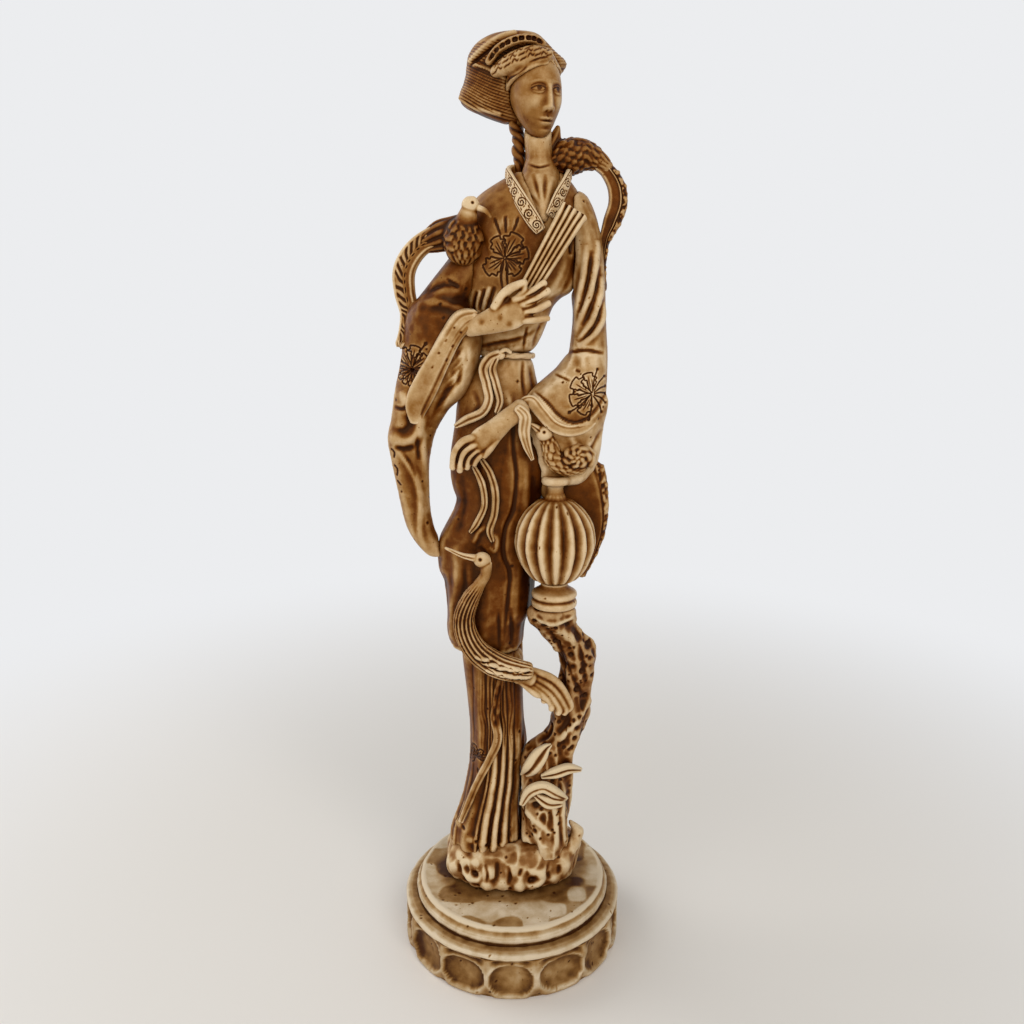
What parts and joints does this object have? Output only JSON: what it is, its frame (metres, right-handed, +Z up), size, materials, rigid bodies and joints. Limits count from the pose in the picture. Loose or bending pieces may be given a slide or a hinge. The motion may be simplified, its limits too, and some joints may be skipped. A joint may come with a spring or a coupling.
{
  "type": "guanyin statue",
  "caption": "Standing robed goddess figure with folded fan, lidded lobed vase on a tree trunk and perched birds, on a round scalloped plinth",
  "frame": {"origin": "centre of the plinth's flat underside", "axes": "+Z up the figure, -Y towards the viewer that the figure faces, +X to that viewer's right"},
  "size_m": [0.105, 0.1022, 0.4],
  "materials": {
    "figure_resin": "cast resin with honey-brown antique wash, satin",
    "ivory_resin": "cast resin in aged ivory with brown wash in the recesses, satin",
    "rock_resin": "cast resin, dark brown wash over pitted bark and rock, satin",
    "plinth_resin": "cast resin, pale stone colour with honey patches, satin"
  },
  "bodies": {
    "root": {"plinth": "plinth_resin", "rock_mound": "rock_resin", "over_robe": "figure_resin", "under_robe": "figure_resin", "head": "ivory_resin", "neck": "ivory_resin", "bodice": "figure_resin", "waist_cord": "ivory_resin", "hair": "ivory_resin", "right_cuff": "ivory_resin", "right_hand": "ivory_resin", "left_cuff": "ivory_resin", "left_hand": "ivory_resin", "right_sleeve": "figure_resin", "left_sleeve": "figure_resin", "vase_foot": "ivory_resin", "vase_body": "ivory_resin", "vase_lid": "ivory_resin", "tree_trunk": "rock_resin", "crane": "ivory_resin", "crane_tail": "ivory_resin", "right_shoulder_bird": "figure_resin", "right_bird_tail": "figure_resin", "left_shoulder_bird": "figure_resin", "left_bird_tail": "figure_resin", "vase_bird": "ivory_resin", "vase_bird_tail": "figure_resin", "collar": "ivory_resin", "comb_band": "figure_resin", "headdress": "figure_resin", "hair_tail": "figure_resin", "left_hem": "ivory_resin", "fan": "ivory_resin", "waist_ribbon_outer": "ivory_resin", "waist_ribbon_inner": "ivory_resin", "hip_ribbon_long": "ivory_resin", "hip_ribbon_short": "ivory_resin", "front_sash": "ivory_resin", "leaf_upper": "rock_resin", "leaf_right": "rock_resin", "leaf_low": "rock_resin"}
  },
  "joints": []
}
